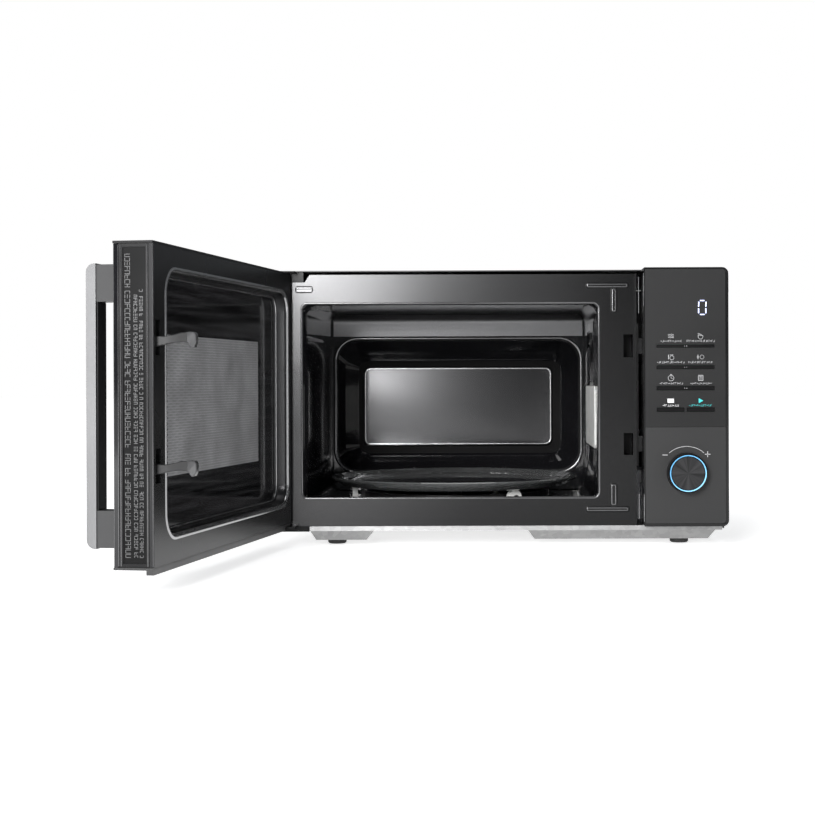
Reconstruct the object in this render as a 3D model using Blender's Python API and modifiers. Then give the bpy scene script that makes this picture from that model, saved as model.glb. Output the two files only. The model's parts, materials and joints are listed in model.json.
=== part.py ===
"""Microwave oven, 28 litre class, with its door open on the left.

Lengths are millimetres in the oven's own frame: X from the body's middle to its right, Y from the
front plate's face to the rear, Z up from the worktop. Door pieces are drawn closed and hang on the
empty "door_axis", which opens them. The model's origin lies under the middle of the whole shape.
"""
import math

import bmesh
import bpy
from mathutils import Matrix, Vector

MM = 0.001
GAP = 0.3                      # between pieces that touch
ORIGIN = Vector((-56.1, -14.7, 0.0))

# Body
HALF_WIDTH = 260.0
TOP = 320.5
SKIN = 1.2                     # cabinet and rear panel sheet
PLATE = 1.5                    # front plate and base sheet
REAR = 385.0
BASE_LOW = 18.0                # underside of the base sheet
PAN_LOW = 5.7                  # underside of the base's stamped pans
FRONT_LOW, FRONT_HIGH = 23.8, 315.7
FRONT_RIGHT = 158.7
OPENING = (-231.0, 115.4, 55.5, 283.0)      # x0, x1, z0, z1
FLOOR_TOP = 42.0
CAVITY_BACK = 320.0
PAN_DEEP = 26.0
LATCH_SLOTS = ((105.2, 130.8), (218.8, 245.4))
LATCH_X = (143.6, 154.6)
FEET = {"foot_front_left": (-194, 40), "foot_front_right": (212, 40),
        "foot_rear_left": (-194, 340), "foot_rear_right": (212, 340)}

# Turntable
SPIN = Vector((-57.8, 161.5, 0.0))
GLASS_RADIUS = 156.0
GLASS_LOW = 61.2
ROLLER_RADIUS = 9.3
ROLLER_PATH = 126.0
ROLLER_ANGLES = (-54.0, 66.0, 186.0)

# Control panel
PANEL = (163.9, 260.0, 25.7, 320.5)
PANEL_FRONT = -38.0
PANEL_SPLIT = 138.7
FASCIA_THICK = 1.7
KEY_MIDDLE = 211.0
KEY_HALF = 32.5
ROCKER_ROWS = {"rocker_key_upper": (229.4, 232.1), "rocker_key_middle": (204.9, 208.5),
               "rocker_key_lower": (180.8, 184.9)}
START_STOP_ROW = (156.3, 160.5)
KNOB = Vector((211.8, -38.0, 86.9))

# Door, drawn closed
PIN = Vector((-252.5, -12.0, 0.0))
DOOR_OPEN = 98.7
DOOR_X = (-259.5, 158.5)
DOOR_Z = (26.0, 317.0)
DOOR_INNER, DOOR_OUTER = -2.0, -39.0
RECESS = (-245.0, 127.5, 52.0, 293.0)
RECESS_ROUND = 22.0
WALL_BACK = -16.2              # how far in the wall round the recess reaches
HANDLE_X = (117.5, 139.5)
HANDLE_Z = (42.0, 299.0)

# Fan
FAN = Vector((190.0, 366.0, 165.0))

COLOURS = {
    "black": ((0.012, 0.012, 0.013), 0.42, 0.0), "satin": ((0.05, 0.05, 0.052), 0.35, 0.4),
    "enamel": ((0.03, 0.03, 0.032), 0.22, 0.2), "zinc": ((0.62, 0.62, 0.62), 0.35, 1.0),
    "silver": ((0.55, 0.55, 0.56), 0.3, 0.9), "white": ((0.85, 0.85, 0.83), 0.5, 0.0),
    "mica": ((0.78, 0.76, 0.70), 0.6, 0.0), "glass": ((0.75, 0.8, 0.8), 0.05, 0.0),
    "smoked": ((0.01, 0.01, 0.012), 0.06, 0.0), "grey": ((0.1, 0.1, 0.105), 0.4, 0.0),
    "rubber": ((0.02, 0.02, 0.02), 0.8, 0.0), "copper": ((0.6, 0.25, 0.1), 0.4, 1.0),
    "board": ((0.03, 0.18, 0.08), 0.5, 0.0), "light": ((0.35, 0.75, 0.95), 0.3, 0.0),
    "steel": ((0.4, 0.4, 0.42), 0.35, 1.0),
}


def new_collection(name):
    group = bpy.data.collections.get(name) or bpy.data.collections.new(name)
    if name not in bpy.context.scene.collection.children:
        bpy.context.scene.collection.children.link(group)
    return group


def new_material(name):
    colour, roughness, metallic = COLOURS[name]
    material = bpy.data.materials.new(name)
    material.use_nodes = True
    shader = material.node_tree.nodes["Principled BSDF"]
    shader.inputs["Base Color"].default_value = (*colour, 1.0)
    shader.inputs["Roughness"].default_value = roughness
    shader.inputs["Metallic"].default_value = metallic
    return material


for leftover in list(bpy.data.objects):
    bpy.data.objects.remove(leftover)
PARTS = new_collection("microwave_oven")
CUTTERS = new_collection("cutters")
MATERIALS = {name: new_material(name) for name in COLOURS}


class Place:
    """A frame that pieces hang on: its own origin in oven millimetres, and its parent empty."""

    def __init__(self, origin, empty=None):
        self.origin = Vector(origin)
        self.empty = empty


BODY = Place(ORIGIN)


def hang(item, place, centre):
    item.parent = place.empty
    item.location = (Vector(centre) - place.origin) * MM


def new_empty(name, centre, turn=0.0, place=BODY):
    empty = bpy.data.objects.new(name, None)
    PARTS.objects.link(empty)
    hang(empty, place, centre)
    empty.rotation_euler.z = math.radians(turn)
    return Place(centre, empty)


# Shapes: each adds one closed solid to a bmesh, about the point "centre"

def add_box(shape, centre, low, high, taper=None):
    """A box; taper is the low end's (width, depth) as shares of the top's."""
    low, high = Vector(low), Vector(high)
    middle = (low + high) / 2 - Vector(centre)
    scale = Matrix.Diagonal((*(high - low) * MM, 1.0))
    made = bmesh.ops.create_cube(shape, size=1.0, matrix=Matrix.Translation(middle * MM) @ scale)
    if taper:
        for vert in made["verts"]:
            if vert.co.z < middle.z * MM:
                vert.co.x = (middle.x * MM) + (vert.co.x - middle.x * MM) * taper[0]
                vert.co.y = (middle.y * MM) + (vert.co.y - middle.y * MM) * taper[1]


def add_rod(shape, centre, start, end, radius, sides=24):
    start, end = Vector(start), Vector(end)
    axis = end - start
    turn = axis.to_track_quat("Z", "Y").to_matrix().to_4x4()
    matrix = Matrix.Translation(((start + end) / 2 - Vector(centre)) * MM) @ turn
    bmesh.ops.create_cone(shape, cap_ends=True, segments=sides, radius1=radius * MM,
                          radius2=radius * MM, depth=axis.length * MM, matrix=matrix)


def add_band(shape, centre, loops):
    """A closed band through outlines of equally many points, each with its Y."""
    rings = [[shape.verts.new((Vector((x, y, z)) - centre) * MM) for x, z in points] for points, y in loops]
    for first, second in zip(rings, rings[1:] + rings[:1]):
        for i in range(len(first)):
            j = (i + 1) % len(first)
            shape.faces.new((first[i], first[j], second[j], second[i]))


def box(low, high, taper=None):
    return lambda shape, centre: add_box(shape, centre, low, high, taper)


def rod(start, end, radius, sides=24):
    return lambda shape, centre: add_rod(shape, centre, start, end, radius, sides)


def make(name, adders, centre, place, group):
    """One object from shapes that don't touch each other."""
    shape = bmesh.new()
    for adder in adders:
        adder(shape, centre)
    bmesh.ops.recalc_face_normals(shape, faces=shape.faces)
    mesh = bpy.data.meshes.new(name)
    shape.to_mesh(mesh)
    shape.free()
    item = bpy.data.objects.new(name, mesh)
    group.objects.link(item)
    hang(item, place, centre)
    return item


def tool(target, adders, centre, place, operation):
    name = f"{target.name}_{operation.lower()}_{len(target.modifiers)}"
    item = make(name, adders, centre, place, CUTTERS)
    item.hide_render = True
    item.display_type = "WIRE"
    modifier = target.modifiers.new(operation.title(), "BOOLEAN")
    modifier.operation = operation
    modifier.object = item


def finish(item, material):
    item.data.materials.clear()
    item.data.materials.append(MATERIALS[material])
    item.data.shade_smooth()
    item.data.set_sharp_from_angle(angle=math.radians(35))


def piece(name, base, material, fuse=(), carve=(), place=BODY, centre=None):
    """A part: one base shape, shapes fused to it one by one, and groups of shapes carved from it."""
    centre = place.origin if centre is None else Vector(centre)
    item = make(name, [base], centre, place, PARTS)
    for adder in fuse:
        tool(item, [adder], centre, place, "UNION")
    for group in carve:
        tool(item, group, centre, place, "DIFFERENCE")
    finish(item, material)
    return item


def arc(middle, radius, start, end, steps):
    """Points of an arc, in degrees; a radius of 0 is one corner point."""
    if radius == 0:
        return [middle]
    angles = [math.radians(start + (end - start) * i / steps) for i in range(steps + 1)]
    return [(middle[0] + radius * math.cos(a), middle[1] + radius * math.sin(a)) for a in angles]


def rounded(x0, x1, z0, z1, radii, steps=6):
    """A rounded rectangle; radii are for the corners low left, low right, high right, high left."""
    corners = ((x0, z0, 1, 1, 180), (x1, z0, -1, 1, 270), (x1, z1, -1, -1, 0), (x0, z1, 1, -1, 90))
    points = []
    for (x, z, sx, sz, start), radius in zip(corners, radii):
        points += arc((x + sx * radius, z + sz * radius), radius, start, start + 90, steps)
    return points


TO_XZ = Matrix.Rotation(math.radians(90), 4, "X")      # outline's own Z points to -Y
TO_YZ = Matrix(((0, 0, 1, 0), (1, 0, 0, 0), (0, 1, 0, 0), (0, 0, 0, 1)))


def sheet(name, outlines, near, far, material, plane=TO_XZ, fuse=(), carve=(), place=BODY):
    """A flat piece from outlines in a plane, between two heights along the plane's axis."""
    curve = bpy.data.curves.new(name, "CURVE")
    curve.dimensions = "2D"
    curve.fill_mode = "BOTH"
    curve.extrude = abs(far - near) / 2 * MM
    for points in outlines:
        line = curve.splines.new("POLY")
        line.points.add(len(points) - 1)
        for point, (u, v) in zip(line.points, points):
            point.co = (u * MM, v * MM, 0.0, 1.0)
        line.use_cyclic_u = True
    holder = bpy.data.objects.new(name + "_outline", curve)
    PARTS.objects.link(holder)
    bpy.context.view_layer.update()
    evaluated = holder.evaluated_get(bpy.context.evaluated_depsgraph_get())
    mesh = bpy.data.meshes.new_from_object(evaluated)
    bpy.data.objects.remove(holder)
    bpy.data.curves.remove(curve)
    axis = Vector((0, 1, 0)) if plane is TO_XZ else Vector((1, 0, 0))
    offset = axis * (near + far) / 2 - place.origin
    mesh.transform(Matrix.Translation(offset * MM) @ plane)
    shape = bmesh.new()
    shape.from_mesh(mesh)
    bmesh.ops.remove_doubles(shape, verts=shape.verts, dist=0.00001)
    bmesh.ops.recalc_face_normals(shape, faces=shape.faces)
    shape.to_mesh(mesh)
    shape.free()
    mesh.name = name
    item = bpy.data.objects.new(name, mesh)
    PARTS.objects.link(item)
    hang(item, place, place.origin)
    for adder in fuse:
        tool(item, [adder], place.origin, place, "UNION")
    for group in carve:
        tool(item, group, place.origin, place, "DIFFERENCE")
    finish(item, material)
    return item


def turned(name, profile, centre, axis, material, closed=False, steps=48, place=BODY):
    """A turned piece: (radius, height) points down the outer side, about an axis through centre."""
    mesh = bpy.data.meshes.new(name)
    count = len(profile)
    edges = [(i, (i + 1) % count) for i in range(count if closed else count - 1)]
    mesh.from_pydata([(r * MM, 0.0, h * MM) for r, h in profile], edges, [])
    item = bpy.data.objects.new(name, mesh)
    PARTS.objects.link(item)
    hang(item, place, centre)
    item.rotation_euler = Vector(axis).to_track_quat("Z", "Y").to_euler()
    screw = item.modifiers.new("Screw", "SCREW")
    screw.steps = screw.render_steps = steps
    screw.use_merge_vertices = True
    screw.merge_threshold = 0.00001
    screw.use_smooth_shade = True
    item.data.materials.append(MATERIALS[material])
    return item


def ring_profile(inner, outer, low, high):
    return [(inner, high), (outer, high), (outer, low), (inner, low)]


# Casing

def cabinet():
    inner = HALF_WIDTH - SKIN
    outline = [(-HALF_WIDTH, 20.0)]
    outline += arc((-HALF_WIDTH + 6, TOP - 6), 6, 180, 90, 4) + arc((HALF_WIDTH - 6, TOP - 6), 6, 90, 0, 4)
    outline += [(HALF_WIDTH, 20.0), (inner, 20.0)]
    outline += arc((inner - 5, TOP - SKIN - 5), 5, 0, 90, 4) + arc((-inner + 5, TOP - SKIN - 5), 5, 90, 180, 4)
    outline += [(-inner, 20.0)]
    slots = []
    for side in (-HALF_WIDTH, HALF_WIDTH):
        for i in range(9):
            y = 250 + 11 * i
            slots.append(box((side - 3, y, 210), (side + 3, y + 4, 250)))
    sheet("outer_cabinet", [outline], 0.0, REAR, "black", carve=[slots])


def rear_panel():
    slots = [box((FAN.x - 45, REAR - 2, FAN.z - 43 + 11 * i), (FAN.x + 45, REAR + 4, FAN.z - 38 + 11 * i))
             for i in range(8)]
    slots += [box((-200 + 14 * i, REAR - 2, 250), (-194 + 14 * i, REAR + 4, 285)) for i in range(10)]
    slots.append(rod((225, REAR - 2, 60), (225, REAR + 4, 60), 8.0))
    piece("rear_panel", box((-258.5, REAR + GAP, 20), (258.5, REAR + GAP + SKIN, 319)), "black", carve=[slots])
    inside, outside = REAR - 5, REAR + GAP + SKIN + GAP
    profile = [(4.0, 4.0), (8.0, 4.0), (11.0, 2.0), (11.0, 0.0), (7.6, 0.0), (7.6, inside - outside),
               (4.0, inside - outside)]
    turned("cord_gland", profile, (225, outside, 60), (0, 1, 0), "rubber", closed=True, steps=24)


def base_plate():
    pans = ((-224, -150, 12, 104), (-224, -150, 276, 372), (31, 253, 12, 372))
    fuse = [box((-258, 0.6, BASE_LOW), (258, 2.1, 23.4))]
    carve = []
    for x0, x1, y0, y1 in pans:
        share = (0.92, 0.94) if x1 > 0 else (0.8, 0.85)
        fuse.append(box((x0, y0, PAN_LOW), (x1, y1, BASE_LOW + 0.8), share))
        carve.append(box((x0 + 2, y0 + 2, PAN_LOW + PLATE), (x1 - 2, y1 - 2, BASE_LOW + 6), share))
    piece("base_plate", box((-258, 2, BASE_LOW), (258, REAR - 1, BASE_LOW + PLATE)), "zinc", fuse, [carve])
    for name, (x, y) in FEET.items():
        profile = [(0, PAN_LOW - GAP), (11, PAN_LOW - GAP), (11, 1.5), (9.5, 0), (0, 0)]
        turned(name, profile, (x, y, 0), (0, 0, 1), "rubber", steps=24)


def front_plate():
    left, low, right, high = -258.4, FRONT_LOW, FRONT_RIGHT, FRONT_HIGH
    outline = [(left, low), (right, low), (right, high), (-220.9, high), (-226.7, 307.0), (left, 307.0)]
    hole = rounded(*OPENING, (7, 7, 7, 7))[::-1]
    slots = [box((LATCH_X[0], -2, z0), (LATCH_X[1], 4, z1)) for z0, z1 in LATCH_SLOTS]
    beads = [((-236.6, 295.8), (-218.0, 301.7)), ((101, 300), (149, 305)), ((130, 274), (135.5, 300)),
             ((128.5, 45.2), (135, 71.5)), ((100, 40), (149, 45))]
    fuse = [box((a[0], -0.8, a[1]), (b[0], 0.5, b[1])) for a, b in beads]
    sheet("front_plate", [outline, hole], 0.0, PLATE, "satin", fuse=fuse, carve=[slots])


def hinge_plates():
    pin_x, pin_y = PIN.x, PIN.y
    piece("upper_hinge_plate", box((-259, -20, 317.8), (-236, -GAP, 319.0)), "steel",
          fuse=[box((-250, -1.5, 307.4), (-228, 1.2, 318.5)),
                rod((pin_x, pin_y, 308), (pin_x, pin_y, 318.3), 3.0, 16)])
    piece("lower_hinge_plate", box((-258, -20, 22.6), (-236, -GAP, 25.0)), "steel",
          fuse=[box((-258, -1.5, 17.5), (-222, -GAP, 23.5)),
                rod((pin_x, pin_y, 24), (pin_x, pin_y, 35), 3.0, 16)])


# Cavity

def cavity():
    x0, x1, _, z1 = OPENING
    near, far = PLATE + GAP, CAVITY_BACK + PAN_DEEP + 4
    low = FLOOR_TOP - 1.0
    piece("cavity_left_wall", box((x0 - 1.3, near, low), (x0 - GAP, far, z1 + 1.3)), "enamel",
          fuse=[box((x0 - 0.6, 44, 84), (x0 + 0.6, 276, 246))])
    lamp_slots = [box((x1 - 2, 40 + 7 * i, 239), (x1 + 3, 43 + 7 * i, 261)) for i in range(8)]
    piece("cavity_right_wall", box((x1 + GAP, near, low), (x1 + 1.3, far, z1 + 1.3)), "enamel",
          carve=[lamp_slots + [box((x1 - 2, 100, 118), (x1 + 3, 230, 177))]])
    piece("cavity_ceiling", box((x0, near, z1 + GAP), (x1, far, z1 + 1.3)), "enamel")
    piece("cavity_floor", box((x0, near, low), (x1, far, FLOOR_TOP)), "enamel",
          carve=[[rod((SPIN.x, SPIN.y, low - 3), (SPIN.x, SPIN.y, FLOOR_TOP + 3), 7.0)]])
    back_wall(x0, x1, FLOOR_TOP + GAP, z1)


def back_wall(x0, x1, z0, z1):
    """A flat rim, a drawn pan with sloping sides, and a raised panel in the pan's flat back."""
    steps = 8
    loops = ((x0, x1, z0, z1, 0.5, CAVITY_BACK), (-226, 111, 67, 250, 30, CAVITY_BACK),
             (-214, 100, 80, 234, 24, CAVITY_BACK + 12), (-196, 84, 92, 219, 12, CAVITY_BACK + PAN_DEEP),
             (-190, 70, 101, 206, 6, CAVITY_BACK + PAN_DEEP), (-187, 67, 104, 203, 5, CAVITY_BACK + PAN_DEEP - 3))
    shape = bmesh.new()
    rings = []
    for a, b, c, d, radius, y in loops:
        points = rounded(a, b, c, d, (radius,) * 4, steps)
        rings.append([shape.verts.new((Vector((x, y, z)) - ORIGIN) * MM) for x, z in points])
    for outer, inner in zip(rings, rings[1:]):
        for i in range(len(outer)):
            j = (i + 1) % len(outer)
            shape.faces.new((outer[i], outer[j], inner[j], inner[i]))
    shape.faces.new(rings[-1])
    mesh = bpy.data.meshes.new("cavity_back_wall")
    shape.to_mesh(mesh)
    shape.free()
    item = bpy.data.objects.new("cavity_back_wall", mesh)
    PARTS.objects.link(item)
    thick = item.modifiers.new("Solidify", "SOLIDIFY")
    thick.thickness = 1.0 * MM
    thick.offset = -1.0
    thick.use_even_offset = False
    finish(item, "enamel")


def waveguide_and_magnetron():
    x1 = OPENING[1]
    cover = [(78, 110), (254, 110), (258, 114), (258, 181), (254, 185), (78, 185), (74, 181), (74, 114)]
    sheet("waveguide_cover", [cover], x1 - 0.9, x1, "mica", plane=TO_YZ)
    guide = x1 + 1.6
    piece("waveguide", box((guide, 95, 112), (152, 235, 183)), "zinc",
          carve=[[box((guide - 2, 96.5, 113.5), (150.5, 233.5, 181.5))],
                 [rod((149, 200, 148), (154, 200, 148), 10)]])
    fins = [box((164 + 8 * i, 158, 110), (165.5 + 8 * i, 242, 186)) for i in range(6)]
    piece("magnetron", box((152.4, 155, 108), (155, 245, 188)), "zinc",
          fuse=[rod((154, 200, 148), (216, 200, 148), 20), box((214, 155, 108), (216, 245, 188))] + fins
          + [rod((132, 200, 148), (153, 200, 148), 8), box((215, 170, 120), (238, 230, 176))])


def power_parts():
    piece("high_voltage_transformer", box((150, 62, 7.6), (240, 128, 84)), "steel",
          fuse=[box((168, 46, 24), (222, 144, 68))])
    outline = arc((175, 34), 24, 90, 270, 8) + arc((215, 34), 24, -90, 90, 8)
    sheet("high_voltage_capacitor", [outline], 270, 345, "steel",
          fuse=[box((178, 262, 31), (180, 272, 37)), box((210, 262, 31), (212, 272, 37))])
    piece("turntable_motor", rod((SPIN.x, SPIN.y, 20.2), (SPIN.x, SPIN.y, 37.5), 25, 32), "zinc",
          fuse=[rod((SPIN.x, SPIN.y, 37), (SPIN.x, SPIN.y, 39.2), 7)])
    piece("oven_lamp", rod((122, 64, 250), (138, 64, 250), 11), "glass",
          fuse=[rod((137, 64, 250), (158, 64, 250), 8)])


def fan():
    y = FAN.y
    plate_y = y - 15
    piece("fan_shroud", box((126, plate_y, 105), (254, plate_y + 1.5, 225)), "black",
          fuse=[rod((FAN.x, plate_y, FAN.z), (FAN.x, y + 14, FAN.z), 57, 48)],
          carve=[[rod((FAN.x, plate_y - 5, FAN.z), (FAN.x, y + 30, FAN.z), 54, 48)]])
    motor_y = plate_y - GAP
    piece("fan_motor", box((165, motor_y - 42, 140), (215, motor_y - 8, 190)), "steel",
          fuse=[box((166, motor_y - 12, 98), (172, motor_y, 232)), box((208, motor_y - 12, 98), (214, motor_y, 232))])
    spin = new_empty("fan_axis", FAN)
    turns = [Matrix.Rotation(math.tau * i / 5, 4, "Y") @ Matrix.Translation((0, 0, 30 * MM))
             @ Matrix.Rotation(math.radians(32), 4, "Z") @ Matrix.Diagonal((34 * MM, 1.6 * MM, 40 * MM, 1))
             for i in range(5)]
    blades = [lambda shape, centre, turn=turn: bmesh.ops.create_cube(shape, size=1.0, matrix=turn)
              for turn in turns]
    hub = rod(FAN + Vector((0, -12, 0)), FAN + Vector((0, 12, 0)), 14, 32)
    shaft = rod((FAN.x, motor_y - 7, FAN.z), (FAN.x, y, FAN.z), 3, 16)
    piece("fan_blade", hub, "black", fuse=blades + [shaft], place=spin)


# Turntable

def turntable():
    spin = new_empty("turntable_axis", SPIN)
    low, lip = GLASS_LOW, GLASS_RADIUS
    profile = [(0, 5.0), (lip - 22, 5.0), (lip - 14, 6.0), (lip - 4, 11.6), (lip - 1, 11.9), (lip, 10.6),
               (lip - 1.5, 8.4), (lip - 13, 1.4), (lip - 20, 0.0), (0, 0.0)]
    turned("glass_turntable", profile, SPIN + Vector((0, 0, low)), (0, 0, 1), "glass", steps=56, place=spin)
    lobes = [lambda shape, centre, a=a: bmesh.ops.create_cube(
        shape, size=1.0, matrix=Matrix.Rotation(math.radians(a), 4, "Z")
        @ Matrix.Translation((12 * MM, 0, 57 * MM)) @ Matrix.Diagonal((12 * MM, 7 * MM, 7 * MM, 1)))
        for a in (30, 150, 270)]
    piece("drive_coupler", rod(SPIN + Vector((0, 0, 43)), SPIN + Vector((0, 0, 60.9)), 9), "white",
          fuse=lobes + [rod(SPIN + Vector((0, 0, 39.6)), SPIN + Vector((0, 0, 44)), 3.5, 16)], place=spin)
    roller_ring()


def roller_ring():
    height = FLOOR_TOP + GAP + ROLLER_RADIUS
    spin = new_empty("ring_axis", SPIN)
    middle = SPIN + Vector((0, 0, height))
    ring = turned("roller_ring", ring_profile(112, 119, -4, 4), middle, (0, 0, 1), "white", closed=True,
                  place=spin)
    for number, degrees in enumerate(ROLLER_ANGLES, 1):
        out = Vector((math.cos(math.radians(degrees)), math.sin(math.radians(degrees)), 0))
        tool(ring, [rod(middle + out * 116, middle + out * 131, 2.0, 12)], middle, spin, "UNION")
        tool(ring, [rod(middle + out * 130, middle + out * 132, 3.4, 12)], middle, spin, "UNION")
        axis = new_empty(f"roller_axis_{number}", middle + out * ROLLER_PATH)
        turned(f"roller_{number}", ring_profile(2.35, ROLLER_RADIUS, -3.2, 3.2), middle + out * ROLLER_PATH,
               out, "white", closed=True, steps=32, place=axis)
    finish(ring, "white")


# Controls

def control_panel():
    x0, x1, z0, z1 = PANEL
    wall = 2.5
    seat = PANEL_FRONT + FASCIA_THICK + GAP
    recess = [box((x0 + 1.0, -45, z0 + 3.2), (x1 - 3.2, seat, z1 - 1.8))]
    hollow = [box((x0 + wall, seat + wall, z0 + wall), (x1 - wall, 5, z1 - wall))]
    windows = [box((176, seat - 2, 154), (246, seat + 4, 250)), box((213, seat - 2, 258), (248, seat + 4, 291)),
               rod((KNOB.x, seat - 2, KNOB.z), (KNOB.x, seat + 4, KNOB.z), 8)]
    sheet("control_panel_moulding", [rounded(*PANEL, (1, 7, 7, 1))], PANEL_FRONT + 0.4, -GAP, "black",
          carve=[recess, hollow, windows])
    slots = []
    for low, high in ROCKER_ROWS.values():
        slots.append(box((KEY_MIDDLE - KEY_HALF - 0.4, -45, low - 0.4), (KEY_MIDDLE + KEY_HALF + 0.4, -30, high + 0.4)))
    for a, b in ((178.5, 209.2), (212.6, 243.5)):
        slots.append(box((a - 0.4, -45, START_STOP_ROW[0] - 0.4), (b + 0.4, -30, START_STOP_ROW[1] + 0.4)))
    back = PANEL_FRONT + FASCIA_THICK
    left, right, low, high = x0 + 1.3, x1 - 3.5, z0 + 3.5, z1 - 2.1
    sheet("upper_fascia", [rounded(left, right, PANEL_SPLIT + 0.2, high, (0, 0, 4, 1))], PANEL_FRONT, back,
          "grey", carve=[slots])
    sheet("lower_fascia", [rounded(left, right, low, PANEL_SPLIT - 0.2, (1, 4, 0, 0))], PANEL_FRONT, back,
          "grey", carve=[[rod((KNOB.x, -45, KNOB.z), (KNOB.x, -30, KNOB.z), 8)]])
    encoder, key_switches = box((204, -24, 79), (220, -13.5, 95)), box((176, -20, 160), (246, -13.5, 240))
    display = box((214, -35.4, 259), (247, -13.5, 290))
    piece("control_board", box((168, -14, 40), (256, -12.4, 300)), "board",
          fuse=[encoder, key_switches, display])


def keys():
    for name, (low, high) in ROCKER_ROWS.items():
        pivot = Vector((KEY_MIDDLE, -35.0, (low + high) / 2))
        axis = new_empty(name + "_axis", pivot)
        piece(name, box((KEY_MIDDLE - KEY_HALF, -39.2, low), (KEY_MIDDLE + KEY_HALF, -31.0, high)), "black",
              place=axis)
    for name, a, b in (("stop_key", 178.5, 209.2), ("start_key", 212.6, 243.5)):
        low, high = START_STOP_ROW
        axis = new_empty(name + "_axis", ((a + b) / 2, -35.0, (low + high) / 2))
        piece(name, box((a, -39.2, low), (b, -30.5, high)), "black", place=axis)


def knob():
    spin = new_empty("knob_axis", KNOB)
    front = Vector((0, -1, 0))
    profile = [(0, 14.6), (19.2, 14.6), (19.2, 13.4), (20.9, 13.4), (20.9, 16.0), (21.4, 16.2), (22.2, 15.2),
               (22.9, 1.0), (22.5, 0.5), (3.0, 0.5), (3.0, -13.6), (0, -13.6)]
    turned("knob", profile, KNOB, front, "black", steps=40, place=spin)
    turned("knob_light_ring", ring_profile(19.6, 20.6, 13.7, 16.1), KNOB, front, "light", closed=True,
           steps=40, place=spin)
    turned("knob_cap", [(0, 16.0), (18.6, 16.0), (19.2, 15.4), (19.2, 14.9), (0, 14.9)], KNOB, front, "steel",
           steps=40, place=spin)


def latch_housing():
    pockets = [box((141, -1, z0 - 2), (157, 46, z1 + 2)) for z0, z1 in LATCH_SLOTS]
    piece("latch_housing", box((135, 1.9, 92), (161, 50, 258)), "white", carve=[pockets])
    for name, middle in (("door_switch_lower", 118.0), ("door_switch_upper", 232.0)):
        piece(name, box((161.4, 6, middle - 9), (172, 34, middle + 9)), "black")


# Door

def recess_outline(inset):
    x0, x1, z0, z1 = RECESS
    return rounded(x0 + inset, x1 - inset, z0 + inset, z1 - inset, (RECESS_ROUND - inset,) * 4)


def door():
    hung = new_empty("door_axis", PIN, -DOOR_OPEN)
    x0, x1 = DOOR_X
    z0, z1 = DOOR_Z
    glass_low, glass_high = z0 + 2.5, z1 - 2.5
    piece("door_glass", box((x0, DOOR_OUTER, glass_low), (x1, DOOR_OUTER + 4, glass_high)), "smoked", place=hung)
    pin_hole = rod((PIN.x, PIN.y, 0), (PIN.x, PIN.y, 400), 3.4, 16)
    back, face = DOOR_OUTER + 4 + GAP, -6.0 - GAP
    outer = rounded(x0, x1 - 0.6, glass_low, glass_high, (0, 0, 0, 0))
    inner = rounded(x0 + 13.5, x1 - 6, glass_low + 14, glass_high - 14, (1, 1, 1, 1))[::-1]
    sheet("door_frame", [outer, inner], back, face, "black", place=hung,
          carve=[[pin_hole, box((x1 - 1.8, back + 4, 31.5), (x1 + 4, face - 3, 311.5))]])
    chamfer = 3.0
    slots = [box((142.5, -12, z - 3), (153.5, 0, w + 2)) for z, w in LATCH_SLOTS]
    outer = rounded(x0 + chamfer, x1 - 0.3, glass_low, glass_high, (0, 0, 0, 0))
    wall = [(recess_outline(inset), y) for inset, y in (
        (-0.4, -4.0), (-0.4, WALL_BACK), (4.4, WALL_BACK), (4.4, WALL_BACK + 1.4), (1.4, WALL_BACK + 1.4),
        (1.4, -4.0))]
    sheet("door_inner_frame", [outer, recess_outline(0.0)[::-1]], -6.0, DOOR_INNER, "satin",
          fuse=[lambda shape, centre: add_band(shape, centre, wall)], carve=[slots], place=hung)
    for name, near, thick in (("door_window_film", WALL_BACK - 0.4, 1.4), ("door_screen", -20.0, 1.0)):
        piece(name, box((x0 + 14.5, near - thick, 44.5), (140, near, 298)), "smoked", place=hung)
    strip = box((-234, -9, z0 - 4.2), (x1 + 0.5, DOOR_INNER - 0.2, z0 + 1))
    for name, low, high, fuse in (("door_bottom_cap", z0, glass_low - GAP, [strip]),
                                  ("door_top_cap", glass_high + GAP, z1, [])):
        piece(name, box((x0 + chamfer, DOOR_OUTER - 0.5, low), (x1 + 0.5, DOOR_INNER - 0.5, high)), "black",
              fuse=fuse, place=hung, carve=[[pin_hole]])
    handle(hung)
    latch(hung)


def handle(hung):
    (x0, x1), (z0, z1) = HANDLE_X, HANDLE_Z
    far, split = -73.2, -64.0
    outline = arc((far + 8, z0 + 8), 8, 180, 270, 5) + [(split, z0), (split, z1)]
    outline += arc((far + 8, z1 - 8), 8, 90, 180, 5)
    sheet("handle_bar", [outline], x0, x1, "silver", plane=TO_YZ, place=hung)
    bracket = 33.5
    for name, low in (("handle_bracket_lower", z0 + 1), ("handle_bracket_upper", z1 - 1 - bracket)):
        piece(name, box((x0 + 1, split + GAP, low), (x1 - 1, DOOR_OUTER - GAP, low + bracket)), "grey",
              place=hung)
    piece("handle_liner", box((x0 + 2, split + GAP, z0 + 1 + bracket + GAP),
                              (x1 - 2, split + 1.4, z1 - 1 - bracket - GAP)), "black", place=hung)


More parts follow.
